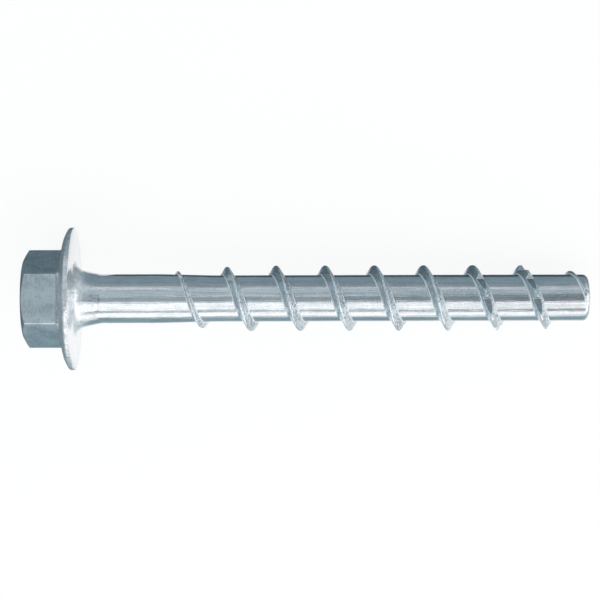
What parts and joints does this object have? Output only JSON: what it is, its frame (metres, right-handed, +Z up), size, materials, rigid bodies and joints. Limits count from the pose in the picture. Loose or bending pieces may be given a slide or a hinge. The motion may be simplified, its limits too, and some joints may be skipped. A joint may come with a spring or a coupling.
{
  "type": "concrete screw",
  "caption": "Flanged hex head concrete screw with a coarse self-tapping thread whose last turns are cut into saw teeth, lying on its flange and thread.",
  "frame": {"origin": "on the surface the screw lies on, below the centre of its bounding box", "axes": "+X from the head to the tip, +Z up; the screw's own axis dips 5.03 degrees below +X, because it lies on the flange's rim and on the saw teeth near the tip"},
  "size_m": [0.0662, 0.0166, 0.0166],
  "materials": {
    "zinc_plated_steel": "bright blue-white zinc plating over cold-formed steel, with fine streaks along the shank"
  },
  "bodies": {
    "root": {"concrete_screw": "zinc_plated_steel"}
  },
  "joints": []
}
